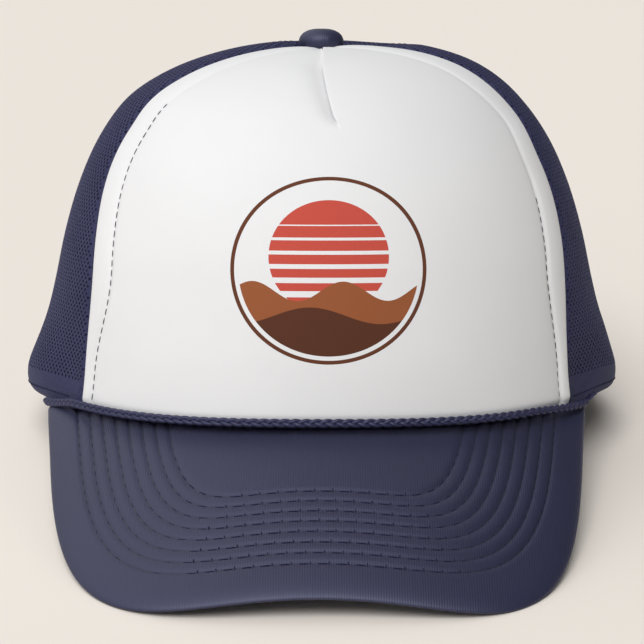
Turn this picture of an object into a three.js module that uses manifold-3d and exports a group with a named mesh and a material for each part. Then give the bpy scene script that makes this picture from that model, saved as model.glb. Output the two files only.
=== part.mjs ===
// Foam-front trucker hat with a mesh back, a curved peak, a braid over the peak's seam and a snap strap.
// It stands as it would on a table: on the two front corners of its peak and on the back of its rim.
// Millimetres, +Z up. The front looks along -Y and the wearer's right hand is at -X.
import * as THREE from "three";
import { mergeVertices } from "three/addons/utils/BufferGeometryUtils.js";
import Module from "manifold-3d";

const wasm = await Module();
wasm.setup();

// The crown's outer surface, level by level: half width, and reach forward and backward from the middle.
const CROWN_SECTIONS = [
  { height: 0, side: 92, front: 98, back: 98 },
  { height: 9, side: 90.6, front: 98, back: 100 },
  { height: 22, side: 89.2, front: 97.4, back: 101.5 },
  { height: 38, side: 87.4, front: 95.6, back: 100.5 },
  { height: 54, side: 84.6, front: 92.6, back: 96.5 },
  { height: 70, side: 79.8, front: 87.2, back: 89.5 },
  { height: 84, side: 72.8, front: 79, back: 79 },
  { height: 96, side: 63, front: 68, back: 66.5 },
  { height: 104.6, side: 50.6, front: 54, back: 52 },
  { height: 110, side: 36, front: 38, back: 36.5 },
  { height: 112.9, side: 19, front: 20, back: 19.5 },
  { height: 113.2, side: 0, front: 0, back: 0 },
];
const CROWN_HEIGHT = CROWN_SECTIONS.at(-1).height;
const TOP_LEVEL = 0.987; // the panels stop here, round the shank of the button
const GAP = 0.3; // clear distance between neighbouring pieces

// The rim rises over the peak, most at the middle of the front, and a little more at the left temple.
const RIM_RISE = {
  crest: 1.5,
  crestAngle: degrees(45),
  temple: 3.7,
  skew: 0.9,
  fromAngle: degrees(68),
  toAngle: degrees(100),
};

// The soft mesh swells out just above the rim, most at the sides.
const SWELL = {
  size: 7.5,
  height: 8,
  fromAngle: degrees(57),
  fullAngle: degrees(86),
  easeAngle: degrees(120),
  backAngle: degrees(158),
  backShare: 0.35,
};

// The mesh stands proud of the foam over the shoulders, and dips round the button, wider to the left of it.
const SHOULDER = {
  rise: 2.2,
  fromAngle: degrees(56),
  toAngle: degrees(84),
  fromHeight: 62,
  toHeight: 100,
  dimple: [9.5, 15],
  leftDimple: [15, 32],
};
const TOP_LEAN = { shift: 1.2, tilt: 0.018, fromHeight: 92, toHeight: 112 }; // the top leans to the left

const FOAM_THICKNESS = 3;
const MESH_THICKNESS = 1;

// Each front seam runs back from the temple as it climbs, by one gain and near the top by another.
const FRONT_SEAMS = {
  right: {
    atRim: degrees(55.2), gain: degrees(5.6), between: [30, 92], topGain: degrees(3), topBetween: [88, 102],
  },
  left: {
    atRim: degrees(57), gain: degrees(6.4), between: [0, 85], topGain: degrees(3.2), topBetween: [78, 94],
  },
};
const BACK_SEAM_ANGLE = degrees(118);
const PANEL_ROWS = 18;
const PANEL_COLUMNS = { front: 26, side: 11, back: 12 };

// A dart sewn into the foam under the button, leaning to the wearer's left.
const DART = {
  depth: 1.8,
  topHeight: 112.5,
  tipHeight: 91.5,
  tipFade: [-3, 5],
  topFade: [-2, 1],
  topX: 0,
  lean: 4.3,
  curve: 1.6,
  broadSide: 5,
  sharpSide: 2,
};

// The peak is a flat board bent round a fore-and-aft cone that slopes down and opens out to the front.
const PEAK = {
  rootY: -41,
  rootAngle: degrees(65),
  frontY: -153,
  halfWidth: 84.3,
  taper: 0.127,
  squareness: 4.7,
  shift: -1.9,
  slope: degrees(32.4),
  bendRadius: 154,
  bendGain: 0.55,
  roll: 0.011,
  seamHeight: 6.2,
  clearance: 0.8,
  thickness: 3,
  uprightShare: 0.4,
  endShare: 0.8,
  endThinning: 0.5,
  columns: 44,
  rows: 7,
};

// The braid follows the rim and droops at its ends, where it runs out on the mesh.
const BRAID = {
  diameter: 2.6,
  endAngles: [degrees(-69), degrees(66)],
  droop: 1.4,
  droopAngles: [degrees(59), degrees(68)],
  level: 0.012,
  clearance: 0.4,
  lift: 1.55,
  steps: 56,
  sides: 8,
};

const BUTTON = {
  radius: 7.3,
  height: 5,
  edgeInset: 2.2,
  edgeHeight: 1.8,
  roundness: 0.75,
  shift: -0.75,
  lift: 0.9,
  rings: 7,
  segments: 24,
};

// The band inside the rim. It reaches down behind the peak's inner end, and lies closer to mesh than to foam.
const SWEATBAND = {
  thickness: 1.5,
  topLevel: 0.235,
  endAngle: degrees(156),
  foamInset: 3.4,
  meshInset: 1.7,
  meshAngles: [degrees(64), degrees(78)],
  strapAngles: [degrees(128), degrees(142)],
  overPeakAngles: [degrees(57), degrees(70)],
  columns: 64,
  rows: 3,
};

// The opening at the back and the tape that binds its edge.
const ARCH = {
  halfWidth: 36,
  height: 44,
  footDepth: 10,
  tapeWidth: 8,
  tapeThickness: 2.2,
  tapeProud: 0.6,
  tapeSpread: degrees(32),
  tapeTopLevel: 0.56,
  tapeColumns: 22,
  tapeRows: 10,
};
const ARCH_BAR = { backY: 130, length: 80, curveSegments: 14 };

// The strap across the opening: one band, doubled in the middle where its ends overlap, with a row of studs.
const STRAP = {
  lowLevel: 0.03,
  highLevel: 0.155,
  thickness: 1.3,
  inset: 1.6,
  halfSpread: degrees(31),
  overlapSpread: degrees(11),
  overlapBite: 0.2,
  columns: 14,
  overlapColumns: 8,
  rows: 3,
};
const STUD = { count: 7, spread: degrees(9.5), radius: 2.6, tipRadius: 2.1, length: 2.2, sides: 8 };

// How the hat stands: leaning back until the peak's corners and the rim's back both touch.
const REST_TILT = degrees(8.55);
const REST_DROP = 13.75;
const FLOOR_SIZE = 400;
const FLOOR_DEPTH = 40;

const NAVY_COTTON = { color: 0x2a2a42, roughness: 0.85, metalness: 0 };
const NAVY_MESH = { color: 0x2c2c46, roughness: 0.7, metalness: 0 };
const NAVY_BRAID = { color: 0x30304c, roughness: 0.75, metalness: 0 };
const NAVY_PLASTIC = { color: 0x1f2034, roughness: 0.45, metalness: 0 };
const WHITE_FOAM = { color: 0xececec, roughness: 0.9, metalness: 0 };

const { clamp, lerp } = THREE.MathUtils;

function degrees(value) {
  return (value * Math.PI) / 180;
}

function smoothstep(low, high, value) {
  return THREE.MathUtils.smoothstep(value, low, high);
}

// Angles round the crown run from -180 to 180 degrees: 0 is the front and +90 the wearer's left.
function wrapAngle(angle) {
  return angle > Math.PI ? angle - 2 * Math.PI : angle;
}

// Heights and reaches between the sections, along a smooth curve through them. Level 0 is the rim, 1 the top.
function sectionCurve(key) {
  return new THREE.SplineCurve(CROWN_SECTIONS.map((row) => new THREE.Vector2(row.height, row[key])));
}

const SIDE_CURVE = sectionCurve("side");
const FRONT_CURVE = sectionCurve("front");
const BACK_CURVE = sectionCurve("back");

function heightAt(level) {
  return SIDE_CURVE.getPoint(level).x;
}

// The rim's height above its own plane.
function rimHeight(angle) {
  const turn = Math.abs(angle);
  const crest = RIM_RISE.crest * (1 - smoothstep(0, RIM_RISE.crestAngle, turn));
  const front = RIM_RISE.temple + RIM_RISE.skew * Math.sin(angle) ** 5;
  return crest + front * (1 - smoothstep(RIM_RISE.fromAngle, RIM_RISE.toAngle, turn));
}

// How far the mesh swells out: a quick rise from the rim, then a slow fall above.
function swellSize(angle, height) {
  const turn = Math.abs(angle);
  const grown = smoothstep(SWELL.fromAngle, SWELL.fullAngle, turn);
  const eased = smoothstep(SWELL.easeAngle, SWELL.backAngle, turn);
  const ratio = height / SWELL.height;
  const bulge = (ratio * Math.exp(1 - ratio)) ** (ratio < 1 ? 0.5 : 1);
  return SWELL.size * grown * (1 - eased * (1 - SWELL.backShare)) * bulge;
}

function shoulderRise(angle, height, reach) {
  const round = smoothstep(SHOULDER.fromAngle, SHOULDER.toAngle, Math.abs(angle));
  const up = smoothstep(SHOULDER.fromHeight, SHOULDER.toHeight, height);
  const leftward = smoothstep(0, 1, Math.sin(angle));
  const [from, to] = SHOULDER.dimple.map((radius, end) => lerp(radius, SHOULDER.leftDimple[end], leftward));
  return SHOULDER.rise * round * up * smoothstep(from, to, reach);
}

// A point of the crown's outer surface. Without the swelling it is the firm line that the inner bands follow.
function crownPoint(angle, level, swollen = true) {
  const height = heightAt(level);
  const forward = Math.cos(angle);
  const side = SIDE_CURVE.getPoint(level).y;
  const reach = (forward > 0 ? FRONT_CURVE : BACK_CURVE).getPoint(level).y;
  const swell = swollen ? swellSize(angle, height) : 0;
  const x = (side + swell) * Math.sin(angle);
  const lean = smoothstep(TOP_LEAN.fromHeight, TOP_LEAN.toHeight, height);
  const toRim = (1 - height / CROWN_HEIGHT) ** 2;
  const rise = rimHeight(angle) * toRim + shoulderRise(angle, height, side) + TOP_LEAN.tilt * x * lean;
  return new THREE.Vector3(x + TOP_LEAN.shift * lean, -(reach + swell) * forward, height + rise);
}

function crownNormal(angle, level, swollen) {
  const step = 1e-3;
  const lower = Math.max(level - step, 0);
  const along = crownPoint(angle + step, level, swollen).sub(crownPoint(angle - step, level, swollen));
  const up = crownPoint(angle, lower + 2 * step, swollen).sub(crownPoint(angle, lower, swollen));
  return along.cross(up).normalize();
}

// The crown's surface moved inward by a distance.
function insetPoint(angle, level, distance, swollen = true) {
  return crownPoint(angle, level, swollen).addScaledVector(crownNormal(angle, level, swollen), -distance);
}

// A closed wall between two grids of points, given as functions of column and row. Faces point outwards where
// the columns run counter-clockwise seen from above, the rows run upward and the first grid is outside.
function wallGeometry(columns, rows, outside, inside) {
  const positions = [];
  for (const surface of [outside, inside]) {
    for (let row = 0; row <= rows; row++) {
      for (let column = 0; column <= columns; column++) {
        positions.push(...surface(column, row).toArray());
      }
    }
  }
  const index = [];
  const layerSize = (columns + 1) * (rows + 1);
  const at = (column, row, layer) => layer * layerSize + row * (columns + 1) + column;
  const quad = (a, b, c, d) => index.push(a, b, c, a, c, d);
  for (let row = 0; row < rows; row++) {
    for (let column = 0; column < columns; column++) {
      quad(at(column, row, 0), at(column + 1, row, 0), at(column + 1, row + 1, 0), at(column, row + 1, 0));
      quad(at(column, row, 1), at(column, row + 1, 1), at(column + 1, row + 1, 1), at(column + 1, row, 1));
    }
    quad(at(0, row, 1), at(0, row, 0), at(0, row + 1, 0), at(0, row + 1, 1));
    quad(at(columns, row, 0), at(columns, row, 1), at(columns, row + 1, 1), at(columns, row + 1, 0));
  }
  for (let column = 0; column < columns; column++) {
    quad(at(column, 0, 1), at(column + 1, 0, 1), at(column + 1, 0, 0), at(column, 0, 0));
    quad(at(column, rows, 0), at(column + 1, rows, 0), at(column + 1, rows, 1), at(column, rows, 1));
  }
  const geometry = new THREE.BufferGeometry();
  geometry.setAttribute("position", new THREE.Float32BufferAttribute(positions, 3));
  geometry.setIndex(index);
  return geometry;
}

function solidOf(geometry) {
  const bare = geometry.clone();
  bare.deleteAttribute("normal");
  bare.deleteAttribute("uv");
  const merged = mergeVertices(bare, 1e-4);
  return new wasm.Manifold(
    new wasm.Mesh({
      numProp: 3,
      vertProperties: new Float32Array(merged.attributes.position.array),
      triVerts: new Uint32Array(merged.index.array),
    }),
  );
}

function geometryOf(solid) {
  const mesh = solid.getMesh();
  const geometry = new THREE.BufferGeometry();
  geometry.setAttribute("position", new THREE.BufferAttribute(new Float32Array(mesh.vertProperties), 3));
  geometry.setIndex(new THREE.BufferAttribute(new Uint32Array(mesh.triVerts), 1));
  geometry.computeVertexNormals();
  return geometry;
}

// Everything under the table top, in the hat's own frame. Soft edges that rest on the table are flat there.
function underTable() {
  const block = new THREE.BoxGeometry(FLOOR_SIZE, FLOOR_SIZE, FLOOR_DEPTH);
  block.translate(0, 0, -REST_DROP - FLOOR_DEPTH / 2);
  block.rotateX(REST_TILT);
  return solidOf(block);
}

// The seam between the foam and the mesh. Hand -1 is the wearer's right, +1 the left.
function frontSeam(hand) {
  const seam = hand > 0 ? FRONT_SEAMS.left : FRONT_SEAMS.right;
  return (level) => {
    const climb = seam.gain * smoothstep(...seam.between, heightAt(level));
    const topClimb = seam.topGain * smoothstep(...seam.topBetween, heightAt(level));
    return hand * (seam.atRim + climb + topClimb);
  };
}

// A crown panel between two seams, each given as an angle for every level.
function crownPanel(seams, thickness, columns, dent = () => 0) {
  const [fromSeam, toSeam] = seams;
  const surface = (depth) => (column, row) => {
    const level = (TOP_LEVEL * row) / PANEL_ROWS;
    const halfGap = GAP / 2 / SIDE_CURVE.getPoint(level).y;
    const angle = lerp(fromSeam(level) + halfGap, toSeam(level) - halfGap, column / columns);
    const outer = crownPoint(angle, level);
    return insetPoint(angle, level, depth + dent(outer.x, outer.z));
  };
  return wallGeometry(columns, PANEL_ROWS, surface(0), surface(thickness));
}

// Depth of the dart's valley: steep on the wearer's left of its line and broad on the right.
function dartDepth(x, height) {
  const along = clamp((DART.topHeight - height) / (DART.topHeight - DART.tipHeight), 0, 1);
  const across = x - DART.topX - DART.lean * along ** DART.curve;
  const width = across < 0 ? DART.broadSide : DART.sharpSide;
  const fromTip = smoothstep(...DART.tipFade, height - DART.tipHeight);
  const underButton = 1 - smoothstep(...DART.topFade, height - DART.topHeight);
  return DART.depth * Math.exp(-((across / width) ** 2)) * fromTip * underButton;
}

function frontPanel() {
  return crownPanel([frontSeam(-1), frontSeam(1)], FOAM_THICKNESS, PANEL_COLUMNS.front, dartDepth);
}

function sidePanel(hand) {
  const seams = [frontSeam(hand), () => hand * BACK_SEAM_ANGLE];
  return crownPanel(hand > 0 ? seams : seams.reverse(), MESH_THICKNESS, PANEL_COLUMNS.side);
}

// The arch's outline seen from behind, widened by a margin, as a bar that runs through the back of the crown.
function archBar(margin) {
  const half = ARCH.halfWidth + margin;
  const outline = new THREE.Shape();
  outline.moveTo(-half, -ARCH.footDepth);
  outline.lineTo(half, -ARCH.footDepth);
  outline.lineTo(half, 0);
  outline.absellipse(0, 0, half, ARCH.height + margin, 0, Math.PI, false);
  outline.lineTo(-half, -ARCH.footDepth);
  const bar = new THREE.ExtrudeGeometry(outline, {
    depth: ARCH_BAR.length,
    curveSegments: ARCH_BAR.curveSegments,
    bevelEnabled: false,
  });
  bar.rotateX(Math.PI / 2); // the extrusion now runs along -Y and the arch's height along +Z
  bar.translate(0, ARCH_BAR.backY, 0);
  return solidOf(bar);
}

function backPanel(hand) {
  const seams = [() => hand * BACK_SEAM_ANGLE, () => hand * Math.PI];
  const whole = crownPanel(hand > 0 ? seams : seams.reverse(), MESH_THICKNESS, PANEL_COLUMNS.back);
  return geometryOf(solidOf(whole).subtract(archBar(ARCH.tapeWidth + GAP)).subtract(underTable()));
}

// The tape folded over the mesh's edge round the opening.
function archBinding() {
  const surface = (depth) => (column, row) => {
    const turn = Math.PI + lerp(-ARCH.tapeSpread, ARCH.tapeSpread, column / ARCH.tapeColumns);
    return insetPoint(wrapAngle(turn), (ARCH.tapeTopLevel * row) / ARCH.tapeRows, depth);
  };
  const inside = surface(ARCH.tapeThickness - ARCH.tapeProud);
  const wall = solidOf(wallGeometry(ARCH.tapeColumns, ARCH.tapeRows, surface(-ARCH.tapeProud), inside));
  return geometryOf(wall.intersect(archBar(ARCH.tapeWidth)).subtract(archBar(0)).subtract(underTable()));
}

// How far inside the crown's outer face the sweatband lies: behind foam, behind mesh, and behind the strap.
function bandInset(angle) {
  const turn = Math.abs(angle);
  const onMesh = smoothstep(...SWEATBAND.meshAngles, turn) - smoothstep(...SWEATBAND.strapAngles, turn);
  return lerp(SWEATBAND.foamInset, SWEATBAND.meshInset, onMesh);
}

function sweatband() {
  const surface = (depth) => (column, row) => {
    const angle = lerp(-SWEATBAND.endAngle, SWEATBAND.endAngle, column / SWEATBAND.columns);
    const level = (SWEATBAND.topLevel * row) / SWEATBAND.rows;
    const point = insetPoint(angle, level, bandInset(angle) + depth, false);
    const overPeak = 1 - smoothstep(...SWEATBAND.overPeakAngles, Math.abs(angle));
    if (row === 0) {
      point.z -= (PEAK.thickness + GAP) * overPeak;
    }
    return point;
  };
  const wall = wallGeometry(SWEATBAND.columns, SWEATBAND.rows, surface(0), surface(SWEATBAND.thickness));
  return geometryOf(solidOf(wall).subtract(underTable()));
}

// Height of the peak's upper face where it is a bent board.
function boardHeight(x, y) {
  const forward = -y - CROWN_SECTIONS[0].front;
  const radius = PEAK.bendRadius + PEAK.bendGain * forward;
  const bend = (radius - Math.sqrt(radius ** 2 - x ** 2)) / Math.cos(PEAK.slope);
  return PEAK.seamHeight - forward * Math.tan(PEAK.slope) - bend - x * PEAK.roll;
}

// A point of the peak's upper face. Turn -1 to 1 runs from the wearer's right temple to the left one, and
// out 0 to 1 from the seam to the edge. Near the seam the board is pulled up to the rim.
function peakPoint(turn, out) {
  const angle = turn * PEAK.rootAngle;
  const root = insetPoint(angle, 0, bandInset(angle) - GAP, false);
  const bow = (turn * Math.PI) / 2;
  const power = PEAK.squareness;
  const bulge = (Math.cos(bow) ** power + Math.abs(Math.sin(bow)) ** power) ** (-1 / power);
  const edgeY = lerp(PEAK.rootY, PEAK.frontY, bulge * Math.cos(bow));
  const halfWidth = PEAK.halfWidth - PEAK.taper * (PEAK.rootY - edgeY);
  const edgeX = PEAK.shift + halfWidth * bulge * Math.sin(bow);
  const x = lerp(root.x, edgeX, out);
  const y = lerp(root.y, edgeY, out);
  const lift = rimHeight(angle) - PEAK.clearance - boardHeight(root.x, root.y);
  return new THREE.Vector3(x, y, boardHeight(x, y) + lift * (1 - out) ** 2);
}

// The lower face, a board's thickness below. The inner end stands upright behind the seam, and the board is
// thinner towards the temples.
function underPeakPoint(turn, out) {
  const step = 1e-3;
  const side = peakPoint(Math.min(turn + step, 1), out).sub(peakPoint(Math.max(turn - step, -1), out));
  const outward = peakPoint(turn, Math.min(out + step, 1)).sub(peakPoint(turn, Math.max(out - step, 0)));
  const normal = outward.cross(side).normalize();
  const lean = smoothstep(0, PEAK.uprightShare, out);
  normal.set(normal.x * lean, normal.y * lean, normal.z).normalize();
  const thinned = 1 - PEAK.endThinning * smoothstep(PEAK.endShare, 1, Math.abs(turn));
  return peakPoint(turn, out).addScaledVector(normal, -PEAK.thickness * thinned);
}

function peak() {
  const place = (column, row) => [(2 * column) / PEAK.columns - 1, row / PEAK.rows];
  const upper = (column, row) => peakPoint(...place(column, row));
  const lower = (column, row) => underPeakPoint(...place(column, row));
  // Here the rows run outward and the columns towards +X, so the lower face takes the outside's place.
  const board = wallGeometry(PEAK.columns, PEAK.rows, lower, upper);
  return geometryOf(solidOf(board).subtract(underTable()));
}

// The braid lies in the corner between the peak and the crown, and runs on along the rim to its ends.
function braid() {
  const radius = BRAID.diameter / 2;
  const points = [];
  for (let step = 0; step <= BRAID.steps; step++) {
    const angle = lerp(...BRAID.endAngles, step / BRAID.steps);
    const outward = crownNormal(angle, BRAID.level).setZ(0).normalize();
    const wall = crownPoint(angle, BRAID.level);
    const droop = BRAID.droop * smoothstep(...BRAID.droopAngles, Math.abs(angle));
    const height = rimHeight(angle) + BRAID.lift - droop;
    points.push(wall.addScaledVector(outward, radius + BRAID.clearance).setZ(height));
  }
  const circle = new THREE.Shape().absarc(0, 0, radius, 0, 2 * Math.PI);
  return new THREE.ExtrudeGeometry(circle, {
    steps: BRAID.steps,
    extrudePath: new THREE.CatmullRomCurve3(points),
    curveSegments: BRAID.sides / 2,
    bevelEnabled: false,
  });
}

// A covered button: a low dome whose edge is drawn in underneath.
function button() {
  const profile = [new THREE.Vector2(0, 0), new THREE.Vector2(BUTTON.radius - BUTTON.edgeInset, 0)];
  for (let ring = 0; ring <= BUTTON.rings; ring++) {
    const bow = (Math.PI / 2) * (ring / BUTTON.rings);
    const reach = ring === BUTTON.rings ? 0 : BUTTON.radius * Math.cos(bow) ** BUTTON.roundness;
    profile.push(new THREE.Vector2(reach, lerp(BUTTON.edgeHeight, BUTTON.height, Math.sin(bow))));
  }
  const dome = new THREE.LatheGeometry(profile, BUTTON.segments);
  dome.rotateX(Math.PI / 2);
  dome.translate(BUTTON.shift, 0, CROWN_HEIGHT + BUTTON.lift);
  return geometryOf(solidOf(dome));
}

function strapLayer(spread, outerInset, innerInset, columns) {
  const surface = (inset) => (column, row) => {
    const turn = Math.PI + lerp(-spread, spread, column / columns);
    return insetPoint(wrapAngle(turn), lerp(STRAP.lowLevel, STRAP.highLevel, row / STRAP.rows), inset, false);
  };
  return solidOf(wallGeometry(columns, STRAP.rows, surface(outerInset), surface(innerInset)));
}

function stud(share) {
  const angle = wrapAngle(Math.PI + share * STUD.spread);
  const middle = (STRAP.lowLevel + STRAP.highLevel) / 2;
  const place = insetPoint(angle, middle, STRAP.inset - STRAP.thickness, false);
  const pin = new THREE.CylinderGeometry(STUD.tipRadius, STUD.radius, STUD.length, STUD.sides);
  pin.translate(place.x, place.y, place.z);
  return solidOf(pin);
}

function snapStrap() {
  const outer = STRAP.inset - STRAP.thickness;
  const inner = STRAP.inset + STRAP.thickness;
  const overlapInner = STRAP.inset + STRAP.overlapBite;
  let strap = strapLayer(STRAP.halfSpread, STRAP.inset, inner, STRAP.columns);
  strap = strap.add(strapLayer(STRAP.overlapSpread, outer, overlapInner, STRAP.overlapColumns));
  for (let count = 0; count < STUD.count; count++) {
    strap = strap.add(stud((2 * count) / (STUD.count - 1) - 1));
  }
  return geometryOf(strap);
}

const hat = new THREE.Group();

function addPiece(name, geometry, finish) {
  const mesh = new THREE.Mesh(geometry, new THREE.MeshStandardMaterial(finish));
  mesh.name = name;
  hat.add(mesh);
}

addPiece("front_panel", frontPanel(), WHITE_FOAM);
addPiece("side_mesh_right", sidePanel(-1), NAVY_MESH);
addPiece("side_mesh_left", sidePanel(1), NAVY_MESH);
addPiece("back_mesh_right", backPanel(-1), NAVY_MESH);
addPiece("back_mesh_left", backPanel(1), NAVY_MESH);
addPiece("arch_binding", archBinding(), NAVY_COTTON);
addPiece("peak", peak(), NAVY_COTTON);
addPiece("peak_braid", braid(), NAVY_BRAID);
addPiece("top_button", button(), NAVY_COTTON);
addPiece("sweatband", sweatband(), NAVY_COTTON);
addPiece("snap_strap", snapStrap(), NAVY_PLASTIC);

// Lean the hat back, stand it on the table and centre it over the origin.
const standing = new THREE.Group();
standing.add(hat);
hat.rotation.x = -REST_TILT;
const box = new THREE.Box3().setFromObject(standing, true);
const centre = box.getCenter(new THREE.Vector3());
hat.position.set(-centre.x, -centre.y, -box.min.z);

export default standing;
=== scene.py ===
# %% [markdown]
# This lesson dresses a packed trucker hat: the solids are the frame, and each soft solid is replaced
# by a piece that shows how the real one is sewn. The hat has a white foam-backed front, navy net at the
# sides and back, a quilted peak, a braid over the seam between them, a covered button, a sweatband, a
# taped opening at the back and a snap strap. Everything is in metres, in the frame of the solids.

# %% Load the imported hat
import math
import random

import bmesh
import bpy
import numpy as np
from mathutils import Matrix, Vector


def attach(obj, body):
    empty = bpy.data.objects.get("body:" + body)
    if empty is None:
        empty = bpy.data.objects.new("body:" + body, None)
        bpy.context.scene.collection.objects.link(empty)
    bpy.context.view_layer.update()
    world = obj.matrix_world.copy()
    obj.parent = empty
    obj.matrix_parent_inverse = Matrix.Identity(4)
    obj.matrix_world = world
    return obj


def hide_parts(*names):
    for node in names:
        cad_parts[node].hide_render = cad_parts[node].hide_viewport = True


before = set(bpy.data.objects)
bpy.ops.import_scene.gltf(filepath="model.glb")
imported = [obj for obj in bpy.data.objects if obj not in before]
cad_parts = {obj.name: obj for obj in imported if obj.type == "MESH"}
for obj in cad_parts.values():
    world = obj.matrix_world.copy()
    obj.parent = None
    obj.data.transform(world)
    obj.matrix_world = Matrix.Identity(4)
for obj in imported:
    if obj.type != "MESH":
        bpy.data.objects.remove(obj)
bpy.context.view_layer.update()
MM = 0.001
rng = random.Random(7)
print("solids:", sorted(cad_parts))

# %% [markdown]
# The camera looks a little down on the front of the hat, from about 0.65 m, with a long lens. Its place,
# its pitch and its lens are fitted together to the outlines of the rim, the crown and the peak.

# %% Camera
VIEW_PITCH = math.radians(16.55)
lens = bpy.data.cameras.new("camera")
lens.sensor_width = 36
lens.lens = 116.8
lens.clip_end = 30
camera = bpy.data.objects.new("camera", lens)
camera.location = (-0.0005, -0.6396, 0.2342)
camera.rotation_euler = (math.pi / 2 - VIEW_PITCH, 0, 0)
bpy.context.scene.collection.objects.link(camera)
bpy.context.scene.camera = camera
print("camera at", list(camera.location))

# %% [markdown]
# Colours are picked as they look on a screen, as sRGB hex values, and Blender wants them linear. One
# function turns them. Another adds a node to a material, with its settings and its links.

# %% Colour and node helpers
def linear(hex_value):
    channels = [int(hex_value[i : i + 2], 16) / 255 for i in (1, 3, 5)]
    return tuple(c / 12.92 if c <= 0.04045 else ((c + 0.055) / 1.055) ** 2.4 for c in channels) + (1.0,)


def new_material(name):
    material = bpy.data.materials.new(name)
    material.use_nodes = True
    material.node_tree.nodes.clear()
    return material, material.node_tree


def add(tree, kind, inputs=None, **settings):
    made = tree.nodes.new("ShaderNode" + kind)
    for name, value in settings.items():
        setattr(made, name, value)
    for key, value in (inputs or {}).items():
        if isinstance(value, bpy.types.Node):
            value = value.outputs[0]
        if isinstance(value, bpy.types.NodeSocket):
            tree.links.new(value, made.inputs[key])
        else:
            made.inputs[key].default_value = value
    return made


NAVY, NAVY_SHADE = "#1c1e39", "#14152b"
print("navy is", [round(c, 3) for c in linear(NAVY)])

# %% [markdown]
# Navy cotton twill covers the peak, the button and the tape. It is woven in fine ribs, here 0.7 mm apart
# where real ones are nearer 0.4 mm, because finer ones would not show. The cloth is matt, with a little
# fuzz that catches the light at its edges, and its dye varies softly over a few centimetres. On the peak
# the colour is darkened along each row of stitches with painted groove shade, darkest toward the sides.

# %% Cotton twill
RIB_PITCH, BAND_RIB_PITCH = 0.0007, 0.0009
FUZZ_TINT, GLOSS_TINT = linear("#b4b8e6"), linear("#dcdfff")


def ribs(period):
    """The scale of a wave texture whose bands are one period apart."""
    return math.pi / 10 / period


def twill(name, base, shade, rib=RIB_PITCH, rows=False):
    material, tree = new_material(name)
    place = add(tree, "UVMap", uv_map="cloth")
    warp = add(tree, "TexWave", {
        "Vector": place, "Scale": ribs(rib), "Distortion": 0.8, "Detail": 2.0, "Detail Scale": 1.5,
    }, bands_direction="X")
    slub_place = add(tree, "VectorMath", {0: place, 1: (1.0, 0.3, 1.0)}, operation="MULTIPLY")
    slub = add(tree, "TexNoise", {"Vector": slub_place, "Scale": 1100.0, "Detail": 3.0})
    dye = add(tree, "TexNoise", {"Vector": place, "Scale": 22.0, "Detail": 2.0})
    relief = add(tree, "Mix", {0: 0.5, 2: warp, 3: slub}, data_type="FLOAT")
    tone = add(tree, "Mix", {0: 0.4, 2: relief, 3: dye}, data_type="FLOAT")
    colour = add(tree, "ValToRGB", {0: tone})
    for stop, place_on_ramp, dyed in zip(colour.color_ramp.elements, (0.3, 0.72), (shade, base)):
        stop.position, stop.color = place_on_ramp, linear(dyed)
    # On the peak, painted shade darkens the colour along each row of stitches where the groove lies, and is
    # painted darkest toward the sides.
    if rows:
        mark = add(tree, "Attribute", attribute_name="rows").outputs["Fac"]
        off = add(tree, "Math", {0: mark, 1: 0.5}, operation="PINGPONG")
        aside = add(tree, "Math", {0: add(tree, "SeparateXYZ", {0: place})}, operation="ABSOLUTE")
        darkest_painted_shade = add(tree, "MapRange", {
            "Value": aside, "From Min": 0.02, "From Max": 0.05, "To Min": 0.88, "To Max": 0.38})
        line = add(tree, "MapRange", {
            "Value": off, "From Min": 0.03, "From Max": 0.11, "To Min": darkest_painted_shade, "To Max": 1.0,
        }, interpolation_type="SMOOTHSTEP")
        colour = add(tree, "VectorMath", {0: colour, 1: line}, operation="MULTIPLY")
    bump = add(tree, "Bump", {"Height": relief, "Strength": 0.35, "Distance": 0.0002})
    shader = add(tree, "BsdfPrincipled", {
        "Base Color": colour, "Roughness": 0.56, "Normal": bump, "Specular IOR Level": 0.9,
        "Specular Tint": GLOSS_TINT, "Sheen Weight": 0.05, "Sheen Roughness": 0.5,
        "Sheen Tint": FUZZ_TINT})
    add(tree, "OutputMaterial", {"Surface": shader})
    return material


NAVY_TWILL = twill("navy cotton twill", NAVY, NAVY_SHADE)
QUILTED_TWILL = twill("quilted navy cotton twill", NAVY, NAVY_SHADE, rows=True)
BAND_COTTON = twill("navy sweatband cotton", "#26273b", "#1c1d2f", rib=BAND_RIB_PITCH)
print("twill ribs per cm:", round(0.01 / RIB_PITCH))

# %% [markdown]
# The net, the braid's yarn and the sewing thread are knitted or spun, so they share one recipe: a fine
# grain of loops. The net and the yarn have a faint fuzz that catches the light, and the thread is matt.
# The strap is moulded plastic, a little worn.

# %% Net, braid yarn, thread and plastic
def knit(name, base, shade, grain, roughness, sheen, shine=0.5):
    material, tree = new_material(name)
    place = add(tree, "UVMap", uv_map="cloth")
    loops = add(tree, "TexVoronoi", {"Vector": place, "Scale": 1 / grain}, feature="F1")
    dye = add(tree, "TexNoise", {"Vector": place, "Scale": 40.0, "Detail": 3.0})
    tone = add(tree, "Mix", {0: 0.5, 2: loops, 3: dye}, data_type="FLOAT")
    colour = add(tree, "ValToRGB", {0: tone})
    for stop, place_on_ramp, dyed in zip(colour.color_ramp.elements, (0.25, 0.75), (base, shade)):
        stop.position, stop.color = place_on_ramp, linear(dyed)
    bump = add(tree, "Bump", {"Height": loops, "Strength": 0.3, "Distance": grain * 0.3}, invert=True)
    shader = add(tree, "BsdfPrincipled", {
        "Base Color": colour, "Roughness": roughness, "Normal": bump, "Specular IOR Level": shine,
        "Specular Tint": GLOSS_TINT, "Sheen Weight": sheen, "Sheen Roughness": 0.4,
        "Sheen Tint": FUZZ_TINT})
    add(tree, "OutputMaterial", {"Surface": shader})
    return material


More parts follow.
